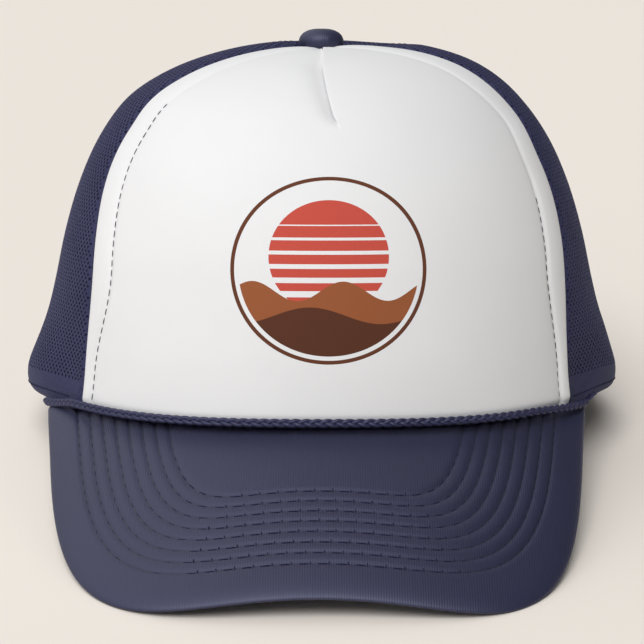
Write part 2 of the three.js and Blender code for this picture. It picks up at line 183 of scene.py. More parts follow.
NET_POLYESTER = knit("navy knitted polyester net", "#393a58", "#272841", 0.0005, 0.75, 0.05, shine=0.2)
BRAID_YARN = knit("navy braid yarn", "#2d2e4a", "#1f2039", 0.0005, 0.5, 0.05)
STITCH_THREAD = knit("dark navy sewing thread", "#1c1d3a", "#14152c", 0.0003, 0.8, 0.0, shine=0.2)

STRAP_PLASTIC, tree = new_material("navy moulded polyethylene")
place = add(tree, "TexCoord").outputs["Object"]
grain = add(tree, "TexNoise", {"Vector": place, "Scale": 2500.0, "Detail": 2.0})
wear = add(tree, "TexNoise", {"Vector": place, "Scale": 120.0, "Detail": 3.0})
bump = add(tree, "Bump", {"Height": grain, "Strength": 0.15, "Distance": 0.0001})
rough = add(tree, "MapRange", {"Value": wear, "To Min": 0.36, "To Max": 0.5})
shader = add(tree, "BsdfPrincipled", {
    "Base Color": linear("#26273c"), "Roughness": rough, "IOR": 1.5, "Normal": bump})
add(tree, "OutputMaterial", {"Surface": shader})
print("plastic nodes:", len(tree.nodes))

# %% [markdown]
# The crown is one surface in two directions: the angle round the head and the level from the rim to the
# top. Its half width and its reach forward and back come from a short table, along a smooth curve. The
# net swells out over the rim, stands proud of the foam at the shoulders and dips under the button.

# %% The crown's surface
CROWN_SECTIONS = {
    "height": (0, 9, 22, 38, 54, 70, 84, 96, 104.6, 110, 112.9, 113.2),
    "side": (92, 90.6, 89.2, 87.4, 84.6, 79.8, 72.8, 63, 50.6, 36, 19, 0),
    "front": (98, 98, 97.4, 95.6, 92.6, 87.2, 79, 68, 54, 38, 20, 0),
    "back": (98, 100, 101.5, 100.5, 96.5, 89.5, 79, 66.5, 52, 36.5, 19.5, 0),
}
CROWN_HEIGHT = 113.2
TOP_LEVEL = 0.987
RIM_CREST, RIM_FRONT, RIM_LEFTWARD = 1.5, 3.7, 0.9
SWELL, SWELL_HEIGHT = 7.5, 8
TOP_SHIFT, TOP_SLANT = 1.2, 0.018
SHOULDER = 2.2
REST_TILT = math.radians(8.55)
STANDING = Matrix.Translation((0, 0.0251274, 0.01375)) @ Matrix.Rotation(-REST_TILT, 4, "X")
rad = np.radians


def smoothstep(low, high, value):
    share = np.clip((value - low) / (high - low), 0, 1)
    return share * share * (3 - 2 * share)


def through(values, shares):
    """A smooth curve through the values, read at shares from 0 to 1."""
    last = len(values) - 1
    at = np.minimum(np.floor(shares * last).astype(int), last - 1)
    f = shares * last - at
    p = np.array(values, float)
    before, low, high, after = p[np.maximum(at - 1, 0)], p[at], p[at + 1], p[np.minimum(at + 2, last)]
    v0, v1 = (high - before) / 2, (after - low) / 2
    return (2 * low - 2 * high + v0 + v1) * f**3 + (3 * (high - low) - 2 * v0 - v1) * f**2 + v0 * f + low


LEVELS = np.linspace(0, 1, 2401)
SECTION = {key: through(values, LEVELS) for key, values in CROWN_SECTIONS.items()}


def run_lengths(points):
    """The length along a line of points, at each of them."""
    return np.concatenate([[0], np.cumsum(np.linalg.norm(np.diff(points, axis=0), axis=1))])


def section(key, level):
    return np.interp(level, LEVELS, SECTION[key])


def level_at(height):
    return np.interp(height, SECTION["height"], LEVELS)


def rim_height(angle):
    """The rim arches over the forehead, a little higher on the wearer's left, and is level behind."""
    turn = np.abs(angle)
    crest = RIM_CREST * (1 - smoothstep(0, rad(45), turn))
    front = RIM_FRONT + RIM_LEFTWARD * np.sin(angle) ** 5
    return crest + front * (1 - smoothstep(rad(68), rad(100), turn))


def swell_size(angle, height):
    """How far the net swells out over the rim: most beside the ears, less at the back."""
    turn = np.abs(angle)
    eased = smoothstep(rad(120), rad(158), turn)
    ratio = height / SWELL_HEIGHT
    bulge = (ratio * np.exp(1 - ratio)) ** np.where(ratio < 1, 0.5, 1)
    return SWELL * smoothstep(rad(57), rad(86), turn) * (1 - eased * 0.65) * bulge


def near_top(height):
    return smoothstep(92, 112, height)


def crown(angle, level, swollen=True):
    height, side = section("height", level), section("side", level)
    forward = np.cos(angle)
    reach = np.where(forward > 0, section("front", level), section("back", level))
    swell = swell_size(angle, height) if swollen else 0
    x = (side + swell) * np.sin(angle)
    lean = near_top(height)
    shoulder = SHOULDER * smoothstep(rad(56), rad(84), np.abs(angle)) * smoothstep(62, 100, height)
    leftward = smoothstep(0, 1, np.sin(angle))
    shoulder = shoulder * smoothstep(9.5 + 5.5 * leftward, 15 + 17 * leftward, side)
    rise = rim_height(angle) * (1 - height / CROWN_HEIGHT) ** 2 + shoulder + TOP_SLANT * x * lean
    return np.stack([x + TOP_SHIFT * lean, -(reach + swell) * forward, height + rise], axis=-1)


def unit(vectors):
    return vectors / np.maximum(np.linalg.norm(vectors, axis=-1, keepdims=True), 1e-9)


def crown_normal(angle, level, swollen=True):
    step = 1e-3
    low = np.maximum(level - step, 0)
    along = crown(angle + step, level, swollen) - crown(angle - step, level, swollen)
    up = crown(angle, low + 2 * step, swollen) - crown(angle, low, swollen)
    return unit(np.cross(along, up))


def crown_inset(angle, level, depth, swollen=True):
    depth = np.asarray(depth)[..., None]
    return crown(angle, level, swollen) - crown_normal(angle, level, swollen) * depth


def standing(points):
    """From the hat's own frame in millimetres to the table's in metres."""
    turn = np.array(STANDING.to_3x3())
    return points * MM @ turn.T + np.array(STANDING.translation)


print("front of the rim:", standing(crown(np.array(0.0), np.array(0.0))).round(4))

# %% [markdown]
# Most pieces start as a flat grid, as the real ones start as flat cloth. The grid's flat place is kept
# as its UV map in metres, so that the weave has its true scale, and a formula bends it into shape.

# %% From flat cloth to a piece
def bend(name, bm, formula, material, replaces=(), floor=False):
    """Makes a piece of a flat bmesh. The formula returns points in millimetres and flat cloth places."""
    mesh = bpy.data.meshes.new(name)
    bm.to_mesh(mesh)
    bm.free()
    flat = np.empty(len(mesh.vertices) * 3)
    mesh.vertices.foreach_get("co", flat)
    points, cloth, *marks = formula(flat.reshape(-1, 3))
    points = standing(points)
    if marks:
        mesh.attributes.new("rows", "FLOAT", "POINT").data.foreach_set("value", marks[0])
    if floor:
        points[:, 2] = np.maximum(points[:, 2], 0.0)
    mesh.vertices.foreach_set("co", points.ravel())
    corner = np.empty(len(mesh.loops), int)
    mesh.loops.foreach_get("vertex_index", corner)
    mesh.uv_layers.new(name="cloth").data.foreach_set("uv", (cloth[corner] * MM).ravel())
    mesh.materials.append(material)
    mesh.shade_smooth()
    mesh.update()
    piece = bpy.data.objects.new(name, mesh)
    bpy.context.scene.collection.objects.link(piece)
    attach(piece, "root")
    if replaces:
        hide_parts(*replaces)
    return piece


def edit_mesh(piece, edit):
    """Opens a finished piece's mesh for a bmesh edit."""
    bm = bmesh.new()
    bm.from_mesh(piece.data)
    edit(bm)
    bm.to_mesh(piece.data)
    bm.free()


def wall(piece, thickness):
    """Gives a skin its thickness on the inner side, and keeps it above the table."""
    modifier = piece.modifiers.new("wall", "SOLIDIFY")
    modifier.thickness = thickness * MM
    modifier.offset = -1
    bpy.context.view_layer.update()
    made = bpy.data.meshes.new_from_object(piece.evaluated_get(bpy.context.evaluated_depsgraph_get()))
    piece.modifiers.clear()
    old, piece.data = piece.data, made
    bpy.data.meshes.remove(old)
    for vert in made.vertices:
        vert.co.z = max(vert.co.z, 0.0)


def tell(piece):
    faces = piece.data
    faces.calc_loop_triangles()
    lowest = min(vert.co.z for vert in faces.vertices) / MM
    print(f"{piece.name}: {len(faces.loop_triangles)} triangles, lowest point {lowest:.2f} mm")


def grid(columns, rows):
    """A flat grid whose x and y run from 0 to 1."""
    bm = bmesh.new()
    bmesh.ops.create_grid(bm, x_segments=columns, y_segments=rows, size=0.5)
    bmesh.ops.translate(bm, vec=(0.5, 0.5, 0), verts=bm.verts)
    return bm


# %% [markdown]
# The front is one piece of foam-backed cloth from temple to temple. It is stitched down 6 to 13 mm in from
# its two seams, which makes a puffy roll along each, and a dart under the button takes in its fullness.

# %% Foam front
FRONT_SEAMS = {
    -1: {"at_rim": 55.2, "gain": 5.6, "between": (30, 92), "top_gain": 3.0, "top_between": (88, 102)},
    1: {"at_rim": 57.0, "gain": 6.4, "between": (0, 85), "top_gain": 3.2, "top_between": (78, 94)},
}
ROLL_WIDTH, ROLL_LEFTWARD, ROLL_GAIN, ROLL_TOP_GAIN = 5.9, 0.6, 5.3, 1.6
ROLL_EDGE, ROLL_PUFF = 3.2, 0.5
DART_TOP, DART_LENGTH, DART_LEAN = 112.5, 21, 4.3
DART_DEPTH, DART_FOLD, FOLD_WIDTH = 3.3, 0.75, 1.6
FIRM_BELOW = {-1: 97, 1: 67}


def front_seam(hand, level):
    seam, height = FRONT_SEAMS[hand], section("height", level)
    climb = seam["gain"] * smoothstep(*seam["between"], height)
    climb = climb + seam["top_gain"] * smoothstep(*seam["top_between"], height)
    return hand * rad(seam["at_rim"] + climb)


def roll_width(hand, height):
    """The seam's cloth is stitched down this far from the seam: narrow at the rim and broad above."""
    above = ROLL_GAIN * smoothstep(12, 46, height)
    return ROLL_WIDTH + ROLL_LEFTWARD * (hand > 0) + above + ROLL_TOP_GAIN * smoothstep(90, 104, height)


def dart_line(height):
    """The dart leans to the wearer's left as it comes down: its x, and the share of it passed."""
    down = np.clip((DART_TOP - height) / DART_LENGTH, 0, 1.2)
    return DART_LEAN * down**1.6 - 0.3, down


def dart(across, down, height):
    """How deep the dart's valley lies, and how far the flap on its other side folds over it."""
    size = (1 - smoothstep(0.85, 1.08, down)) * (1 - 0.75 * smoothstep(108, DART_TOP, height))
    valley = DART_DEPTH * np.exp(-np.maximum(-across, 0) / (4.4 - 2.5 * down))
    flap = np.maximum(across, 0)
    lip = 0.3 * np.exp(-flap / 0.4) * (across > 0)
    laid = np.exp(-((np.maximum(across - 0.3, 0) / FOLD_WIDTH) ** 2))
    fold = DART_FOLD * smoothstep(0.02, 0.3, across) * laid
    return size * (valley * np.exp(-((flap / 0.16) ** 2)) + lip), size * fold


def roll_depth(distance, width, firmness):
    """How deep the cloth lies near the seam: a round edge, a puffy roll, then the topstitch's groove."""
    share = np.clip(distance / width, 0, 1)
    turn = np.clip(1 - distance / ROLL_EDGE, 0, 1)
    off = (distance - width) / 0.9
    groove = firmness * (0.7 * np.exp(-(off**2)) + 0.25 * np.exp(-((off / 3.5) ** 2)))
    return 1.7 * (1 - np.sqrt(1 - turn**2)) + groove - ROLL_PUFF * np.sin(np.pi * share)


def front_formula(flat):
    """The columns lie closer together at the seams and at the middle, where the cloth bends most."""
    share = flat[:, 0] - 0.75 * np.sin(4 * np.pi * flat[:, 0]) / (4 * np.pi)
    level = TOP_LEVEL * flat[:, 1]
    height, radius = section("height", level), section("side", level)
    right, left = front_seam(-1, level), front_seam(1, level)
    angle = right + (left - right) * share
    dart_x, down = dart_line(height)
    dart_angle = np.arcsin(np.clip((dart_x - TOP_SHIFT * near_top(height)) / radius, -0.5, 0.5))
    angle += (dart_angle - (right + left) / 2) * np.exp(-(((share - 0.5) / 0.1) ** 2))
    hand = np.where(share > 0.5, 1, -1)
    distance = np.where(hand > 0, left - angle, angle - right) * radius
    width = np.minimum(roll_width(hand, height), 0.36 * (left - right) * radius)
    firmness = 1 - 0.55 * smoothstep(0, 14, height - np.where(hand > 0, FIRM_BELOW[1], FIRM_BELOW[-1]))
    outer = crown(angle, level)
    slack = 0.18 * np.sin(outer[:, 0] / 17 + outer[:, 2] / 23) * np.sin(outer[:, 2] / 14 + 1.3)
    top_fade = smoothstep(0.0, 1.0, (TOP_LEVEL - level) * 20)
    depth = roll_depth(distance, width, firmness) * (0.35 + 0.65 * top_fade) + slack
    valley, fold = dart(outer[:, 0] - dart_x, down, height)
    depth += valley + 1.0 * (1 - smoothstep(0, 3.5, height))
    points = crown_inset(angle, level, depth)
    points[:, 0] -= fold
    climb = run_lengths(np.stack([SECTION["height"], SECTION["front"]], axis=-1))
    return points, np.stack([angle * radius, np.interp(level, LEVELS, climb)], axis=-1)


# %% [markdown]
# The front's cloth is a smooth white knit with a very fine grain. Its badge is drawn in the material from
# the cloth's own UV places, in metres: a thin ring, and in it a sun cut by bare bands that widen
# downwards, over two ranges of hills, each under a sine wave. The inks lie flat in the cloth and share
# its bump and roughness.

# %% Foam cloth with its badge
BADGE_CENTRE, BADGE_RADIUS = (0.0015, 0.049, 0.0), 0.0265
RING_INNER, RING_OUTER = 0.0278, 0.0290
SUN_CENTRE, SUN_RADIUS, SUN_BAND = (0.0, 0.004, 0.0), 0.0175, 0.0042
SUN_INK, RING_INK = "#b5483c", "#5a3220"
HILLS = (
    {"base": -0.0065, "swing": 0.0030, "waves": 38, "shift": 0.6, "ink": "#8a4f2e"},
    {"base": -0.0140, "swing": 0.0026, "waves": 24, "shift": 2.4, "ink": "#4f2b1b"},
)

FOAM_CLOTH, tree = new_material("white knit bonded to foam")
place = add(tree, "UVMap", uv_map="cloth")
knit_loops = add(tree, "TexVoronoi", {"Vector": place, "Scale": 1600.0}, feature="F1")
cloud = add(tree, "TexNoise", {"Vector": place, "Scale": 30.0, "Detail": 2.0})
white = add(tree, "ValToRGB", {0: cloud})
white.color_ramp.elements[0].color = linear("#d3d3d4")
white.color_ramp.elements[1].color = linear("#d9d9da")
badge = add(tree, "VectorMath", {0: place, 1: BADGE_CENTRE}, operation="SUBTRACT")
axes = add(tree, "SeparateXYZ", {0: badge})
across, up = axes.outputs[0], axes.outputs[1]
radius = add(tree, "VectorMath", {0: badge}, operation="LENGTH").outputs["Value"]
inside = add(tree, "Math", {0: radius, 1: BADGE_RADIUS}, operation="LESS_THAN")
outer = add(tree, "Math", {0: radius, 1: RING_OUTER}, operation="LESS_THAN")
inner = add(tree, "Math", {0: radius, 1: RING_INNER}, operation="GREATER_THAN")
ring = add(tree, "Math", {0: outer, 1: inner}, operation="MULTIPLY")
sun_place = add(tree, "VectorMath", {0: badge, 1: SUN_CENTRE}, operation="SUBTRACT")
sun_radius = add(tree, "VectorMath", {0: sun_place}, operation="LENGTH").outputs["Value"]
sun = add(tree, "Math", {0: sun_radius, 1: SUN_RADIUS}, operation="LESS_THAN")
band_wave = add(tree, "Math", {0: up, 1: 2 * math.pi / SUN_BAND}, operation="MULTIPLY")
band = add(tree, "Math", {0: band_wave}, operation="SINE")
width = add(tree, "MapRange", {
    "Value": up, "From Min": -0.012, "From Max": 0.016, "To Min": 0.0, "To Max": 1.05})
inked_band = add(tree, "Math", {0: band, 1: width}, operation="LESS_THAN")
striped_sun = add(tree, "Math", {0: sun, 1: inked_band}, operation="MULTIPLY")
inks = [(striped_sun, SUN_INK)]
for hills in HILLS:
    bow = add(tree, "Math", {0: across, 1: 2 * math.pi * hills["waves"], 2: hills["shift"]},
              operation="MULTIPLY_ADD")
    ridge = add(tree, "Math", {0: bow}, operation="SINE")
    skyline = add(tree, "Math", {0: ridge, 1: hills["swing"], 2: hills["base"]}, operation="MULTIPLY_ADD")
    below = add(tree, "Math", {0: up, 1: skyline}, operation="LESS_THAN")
    hill = add(tree, "Math", {0: inside, 1: below}, operation="MULTIPLY")
    inks.append((hill, hills["ink"]))
inks.append((ring, RING_INK))
colour = white.outputs[0]
for mask, ink in inks:
    colour = add(tree, "Mix", {0: mask, 6: colour, 7: linear(ink)}, data_type="RGBA").outputs[2]
bump = add(tree, "Bump", {"Height": knit_loops, "Strength": 0.12, "Distance": 0.0001})
shader = add(tree, "BsdfPrincipled", {
    "Base Color": colour, "Roughness": 0.9, "Normal": bump, "Specular IOR Level": 0.25,
    "Sheen Weight": 0.1, "Sheen Roughness": 0.5})
add(tree, "OutputMaterial", {"Surface": shader})
foam_front = bend("foam_front", grid(280, 124), front_formula, FOAM_CLOTH, ["front_panel"])
wall(foam_front, thickness=2.7)
tell(foam_front)

# %% [markdown]
# The net is real holes in a real sheet, because light falls through them and the far side shows. A flat
# chequered grid gives the staggered rows: every second square is inset, its corners are cut, and the
# middle is taken out. The cloth is cut to the seams, and keeps a plain margin there and at the hem.

# %% Net panels
NET_CELL = 1.22
HOLE_INSET, CORNER_CUT, HOLE_AREA_LIMIT, SLIVER_AREA = 0.14, 0.24, 0.95, 1e-3
HEM_HEIGHT, TOP_MARGIN, SEAM_MARGIN = 12.0, 9.0, 0.6
SEAM_TUCK, TUCK_WIDTH = 0.7, 1.6
BACK_SEAM = rad(118.0)
ARCH_HALF_WIDTH, ARCH_HEIGHT, TAPE_WIDTH = 36.0, 44.0, 8.0


def hem_sag(angle, height):
    """The hem hangs a little lower beside the peak. It swells out less there on the wearer's left."""
    turn = np.abs(angle)
    beside_peak = smoothstep(rad(52), rad(62), turn) * (1 - smoothstep(rad(78), rad(100), turn))
    down = np.where(angle > 0, 2.8, 1.5) * beside_peak * (1 - smoothstep(0, 9, height))
    inward = beside_peak * np.where(angle > 0, 2.0, 0.4) * (1 - smoothstep(8, 24, height))
    return down, inward


def net_panel(name, low_seam, high_seam, replaced):
    """A panel between two seams. Its flat cloth is laid out in millimetres from its middle line."""
    probe = np.linspace(0, TOP_LEVEL, 200)
    centre = float(np.mean((low_seam(probe) + high_seam(probe)) / 2))
    line = crown(np.full(LEVELS.shape, centre), LEVELS)
    lengths, radii = run_lengths(line), np.hypot(line[:, 0], line[:, 1])
    length = float(np.interp(TOP_LEVEL, LEVELS, lengths))
    half = max(float(np.max(np.abs(seam(probe) - centre) * np.interp(probe, LEVELS, radii)))
               for seam in (low_seam, high_seam))
    columns, rows = math.ceil(2 * half / NET_CELL), math.ceil(length / NET_CELL)

    def seams_at(y):
        level = np.interp(y, lengths, LEVELS)
        radius = np.interp(level, LEVELS, radii)
        return (low_seam(level) - centre) * radius, (high_seam(level) - centre) * radius

    bm = grid(columns, rows)
    bmesh.ops.scale(bm, vec=(2 * half, length, 1), verts=bm.verts)
    bmesh.ops.translate(bm, vec=(-half, 0, 0), verts=bm.verts)
    chequer = set()
    for face in bm.faces:
        middle = face.calc_center_median()
        column = math.floor((middle.x + half) / (2 * half) * columns)
        if (column + math.floor(middle.y / length * rows)) % 2 == 0:
            chequer.add(face)
    lows, highs = seams_at(np.array([vert.co.y for vert in bm.verts]))
    for vert, low, high in zip(bm.verts, lows, highs):
        vert.co.x = min(max(vert.co.x, low), high)
    slivers = [face for face in bm.faces if face.calc_area() < SLIVER_AREA]
    chequer -= set(slivers)
    middles = np.array([face.calc_center_median() for face in bm.faces])
    low, high = seams_at(middles[:, 1])
    level = np.interp(middles[:, 1], lengths, LEVELS)
    angle = centre + middles[:, 0] / np.interp(level, LEVELS, radii)
    place = crown(angle, level)
    arch = (place[:, 0] / (ARCH_HALF_WIDTH + 4)) ** 2 + (place[:, 2] / (ARCH_HEIGHT + 4)) ** 2
    arch[place[:, 1] <= 0] = np.inf
    inner = (middles[:, 0] > low + SEAM_MARGIN) & (middles[:, 0] < high - SEAM_MARGIN)
    inner &= (middles[:, 1] > HEM_HEIGHT) & (middles[:, 1] < length - TOP_MARGIN) & (arch >= 1.35)
    holes = [face for face, good in zip(bm.faces, inner) if good and face in chequer]
    gone = [face for face, cut in zip(bm.faces, arch < 1) if cut and face not in slivers]
    bmesh.ops.inset_individual(bm, faces=holes, thickness=HOLE_INSET)
    corners = [vert for face in holes for vert in face.verts]
    bmesh.ops.bevel(bm, geom=corners, offset=CORNER_CUT, affect="VERTICES", segments=1, profile=0.5,
                    material=-1)
    cores = [face for face in bm.faces if len(face.verts) == 8 and face.calc_area() < HOLE_AREA_LIMIT]
    bmesh.ops.delete(bm, geom=list(set(cores + slivers + gone)), context="FACES")
    bmesh.ops.remove_doubles(bm, verts=bm.verts, dist=1e-4)

    def formula(flat):
        level = np.interp(flat[:, 1], lengths, LEVELS)
        angle = centre + flat[:, 0] / np.maximum(np.interp(level, LEVELS, radii), 1)
        low, high = seams_at(flat[:, 1])
        edge = np.minimum(flat[:, 0] - low, high - flat[:, 0])
        tuck = SEAM_TUCK * np.clip(1 - edge / TUCK_WIDTH, 0, 1) ** 2
        down, inward = hem_sag(angle, section("height", level))
        points = crown_inset(angle, level, 0.05 + tuck + inward)
        points[:, 2] -= down
        return points, flat[:, :2]

    piece = bend(name, bm, formula, NET_POLYESTER, [replaced])
    wall(piece, thickness=0.8)
    piece.data.set_sharp_from_angle(angle=rad(50))
    print(name, len(holes), "holes")
    tell(piece)


def curved_seam(hand):
    return lambda level: front_seam(hand, level)


def straight_seam(angle):
    return lambda level: np.full(np.shape(level), angle)


net_panel("net_side_right", straight_seam(-BACK_SEAM), curved_seam(-1), "side_mesh_right")
net_panel("net_side_left", curved_seam(1), straight_seam(BACK_SEAM), "side_mesh_left")
net_panel("net_back_right", straight_seam(-math.pi), straight_seam(-BACK_SEAM), "back_mesh_right")
net_panel("net_back_left", straight_seam(BACK_SEAM), straight_seam(math.pi), "back_mesh_left")

# %% [markdown]
# The peak is a stiff board covered in twill, bent round the forehead and sloping down. Its surface is
# given by two shares: the turn from temple to temple and the way out from the seam to the edge. Rows of
# stitching follow the edge, and the cover puffs up between them. In plan each row is a rounded box, a
# little smaller than the last, and the number of the row that a point lies on is found by halving.

# %% The peak's surface
PEAK_THICKNESS = 3.0
PEAK_ROOT_ANGLE = rad(65.0)
PEAK_SHIFT = -2.2
PEAK_FRONT, PEAK_BACK, PEAK_HALF_WIDTH, PEAK_TAPER = -153.8, -41, 85.2, 0.127
BOARD_SLOPE, BOARD_START, BOARD_START_HEIGHT, BOARD_ROLL = rad(32.4), 98, 6.2, 0.011
BEND_RADIUS, BEND_GAIN = 154, 0.55


def band_inset(angle):
    turn = np.abs(angle)
    on_mesh = smoothstep(rad(64), rad(78), turn) - smoothstep(rad(128), rad(142), turn)
    return 3.4 + (1.7 - 3.4) * on_mesh


def board_height(x, y):
    """The board is part of a cone: it slopes down forward and bends down to both sides."""
    forward = -y - BOARD_START
    radius = BEND_RADIUS + BEND_GAIN * forward
    bend_drop = (radius - np.sqrt(radius**2 - x**2)) / np.cos(BOARD_SLOPE)
    return BOARD_START_HEIGHT - forward * np.tan(BOARD_SLOPE) - bend_drop - x * BOARD_ROLL


def peak_point(turn, out):
    angle = turn * PEAK_ROOT_ANGLE
    root = crown_inset(angle, np.zeros(angle.shape), band_inset(angle) - 0.3, swollen=False)
    bow = turn * np.pi / 2
    power = np.where(turn < 0, 4.3, 4.7)
    bulge = (np.cos(bow) ** power + np.abs(np.sin(bow)) ** power) ** (-1 / power)
    edge_y = PEAK_BACK + (PEAK_FRONT - PEAK_BACK) * bulge * np.cos(bow)
    half_width = PEAK_HALF_WIDTH - PEAK_TAPER * (PEAK_BACK - edge_y)
    edge_x = PEAK_SHIFT + half_width * bulge * np.sin(bow)
    x = root[:, 0] + (edge_x - root[:, 0]) * out
    y = root[:, 1] + (edge_y - root[:, 1]) * out
    lift = rim_height(angle) - 0.8 - board_height(root[:, 0], root[:, 1])
    return np.stack([x, y, board_height(x, y) + lift * (1 - out) ** 2], axis=-1)


def peak_frame(turn, out):
    """The surface's normal and the direction out across the edge."""
    step = 1e-3
    side = peak_point(np.minimum(turn + step, 1), out) - peak_point(np.maximum(turn - step, -1), out)
    ahead = peak_point(turn, np.minimum(out + step, 1)) - peak_point(turn, np.maximum(out - step, 0))
    normal = unit(np.cross(ahead, side))
    normal = normal * np.sign(normal[:, 2:3])
    return normal, unit(np.cross(side, normal))


ROW_COUNT = 8
ROW_STEP = 4.2
ROW_HALF_WIDTH, ROW_WIDTH_STEP = 75.6, 3.78
ROW_REACH, ROW_REACH_STEP = 102.6, 3.52
ROW_POWER, ROW_POWER_STEP = 4.5, 0.2
LOWEST_ROW, HIGHEST_ROW, HALVINGS = -5.0, 13.0, 26


def beyond_row(points, row):
    """Above 1 outside a row of stitches and below 1 inside it, seen in plan."""
    x, y = np.abs(points[:, 0] - PEAK_SHIFT), np.maximum(PEAK_BACK - points[:, 1], 0)
    width = ROW_HALF_WIDTH - ROW_WIDTH_STEP * row - PEAK_TAPER * y
    reach, power = ROW_REACH - ROW_REACH_STEP * row, ROW_POWER + ROW_POWER_STEP * row
    return (x / width) ** power + (y / reach) ** power


def row_number(points):
    """0 on the outermost row, 1 on the next one in, and fractions between, found by halving."""
    low, high = np.full(len(points), LOWEST_ROW), np.full(len(points), HIGHEST_ROW)
    for _ in range(HALVINGS):
        middle = (low + high) / 2
        outside = beyond_row(points, middle) > 1
        low, high = np.where(outside, low, middle), np.where(outside, middle, high)
    return (low + high) / 2


print("rows at the peak's edge and root:", row_number(peak_point(np.zeros(2), np.array([1.0, 0.0]))).round(2))

# %% Quilted peak
PEAK_COLUMNS, TOP_ROWS, NOSE_ROWS, UNDER_ROWS = 430, 96, 16, 16
EDGE_ROLL = 7.0
GROOVE_DEPTH, GROOVE_WIDTH = 0.32, 0.6
DRAW_DEPTH, DRAW_WIDTH = 0.2, 1.5
UNDERSIDE_CLOTH = 400


def quilting(row):
    """How deep the cover is drawn down: a groove at each row of stitches, and a softer dip round it."""
    off = (row - np.clip(np.round(row), 0, ROW_COUNT - 1)) * ROW_STEP
    groove = GROOVE_DEPTH * np.exp(-((off / GROOVE_WIDTH) ** 2))
    return groove + DRAW_DEPTH * np.exp(-((off / DRAW_WIDTH) ** 2))


def peak_formula(flat):
    """The cover's rows run out along the top, round the rolled edge and back along the underside."""
    turn = flat[:, 0] * 2 - 1
    row = flat[:, 1] * (TOP_ROWS + NOSE_ROWS + UNDER_ROWS)
    top = row <= TOP_ROWS
    under = row >= TOP_ROWS + NOSE_ROWS
    half = PEAK_THICKNESS / 2 * (1 - 0.5 * smoothstep(0.8, 1, np.abs(turn)))
    ray = peak_point(turn, np.ones(turn.shape)) - peak_point(turn, np.zeros(turn.shape))
    reach = np.linalg.norm(ray, axis=1)
    _, outward = peak_frame(turn, np.ones(turn.shape))
    squareness = np.clip(np.sum(ray * outward, axis=1) / reach, 0.3, 1)
    rolled = EDGE_ROLL * (1 - 0.8 * smoothstep(0.7, 0.95, np.abs(turn)))
    last = 1 - np.minimum(rolled / (squareness * reach), 0.4)
    nose = np.pi / 2 - np.pi * (row - TOP_ROWS) / NOSE_ROWS
    bow = np.where(top, np.pi / 2, np.where(under, -np.pi / 2, nose))
    back = 1 - (row - TOP_ROWS - NOSE_ROWS) / UNDER_ROWS
    out = np.where(top, row / TOP_ROWS, np.where(under, back, 1)) * last
    out = out + (1 - last) * np.cos(bow)
    normal, _ = peak_frame(turn, out)
    lean = smoothstep(0, 0.4, out)[:, None]
    normal = unit(normal * np.concatenate([lean, lean, np.ones(lean.shape)], axis=1))
    points = peak_point(turn, out) - normal * (half * (1 - np.sin(bow)))[:, None]
    rows = row_number(points)
    drawn = quilting(rows) * np.where(top, 1, np.where(under, 0.5, 0))
    points = points - normal * (drawn * np.sign(np.sin(bow)))[:, None]
    marks = np.clip(rows, -0.5, ROW_COUNT - 0.5)
    cloth = np.stack([points[:, 0], np.where(under, UNDERSIDE_CLOTH, 0) - points[:, 1]], axis=-1)
    return points, cloth, marks


def peak_shell():
    bm = grid(PEAK_COLUMNS, TOP_ROWS + NOSE_ROWS + UNDER_ROWS)
    start = [edge for edge in bm.edges if all(vert.co.y < 1e-6 for vert in edge.verts)]
    end = [edge for edge in bm.edges if all(vert.co.y > 1 - 1e-6 for vert in edge.verts)]
    bmesh.ops.bridge_loops(bm, edges=start + end)
    bmesh.ops.holes_fill(bm, edges=[edge for edge in bm.edges if edge.is_boundary], sides=0)
    return bm


quilted_peak = bend("quilted_peak", peak_shell(), peak_formula, QUILTED_TWILL, ["peak"],
                    floor=True)
edit_mesh(quilted_peak, lambda bm: bmesh.ops.recalc_face_normals(bm, faces=bm.faces))
tell(quilted_peak)

# %% [markdown]
# Stitches are short grains of thread lying along a line on the cloth. A row is a line of points with the
# cloth's normal at each of them. Along it every stitch is a little off in length, because a sewing
# machine pulls the cloth unevenly. Toward the sides of the peak they lie deeper in their groove.

# %% Stitches
SINK_FROM, SINK_TO = 20, 50
TICK_SIDE_LIMIT, TICK_STRAIGHTNESS = 38, 0.95
TICK_RADIUS, TICK_GAP, TICK_ASIDE, TICK_LIFT = 0.16, 0.1, 0.25, 0.3
PEAK_THREAD_LIFT = 0.1


def along_row(points, pitch):
    """Centres, directions and the nearest point numbers at equal steps along a line."""
    length = run_lengths(points)
    places = np.arange(pitch / 2, length[-1], pitch)
    centres, ahead, behind = (
        np.stack([np.interp(places + step * pitch, length, points[:, k]) for k in range(3)], axis=-1)
        for step in (0, 0.4, -0.4))
    numbers = np.searchsorted(length, places).clip(0, len(points) - 1)
    return centres, unit(ahead - behind), numbers


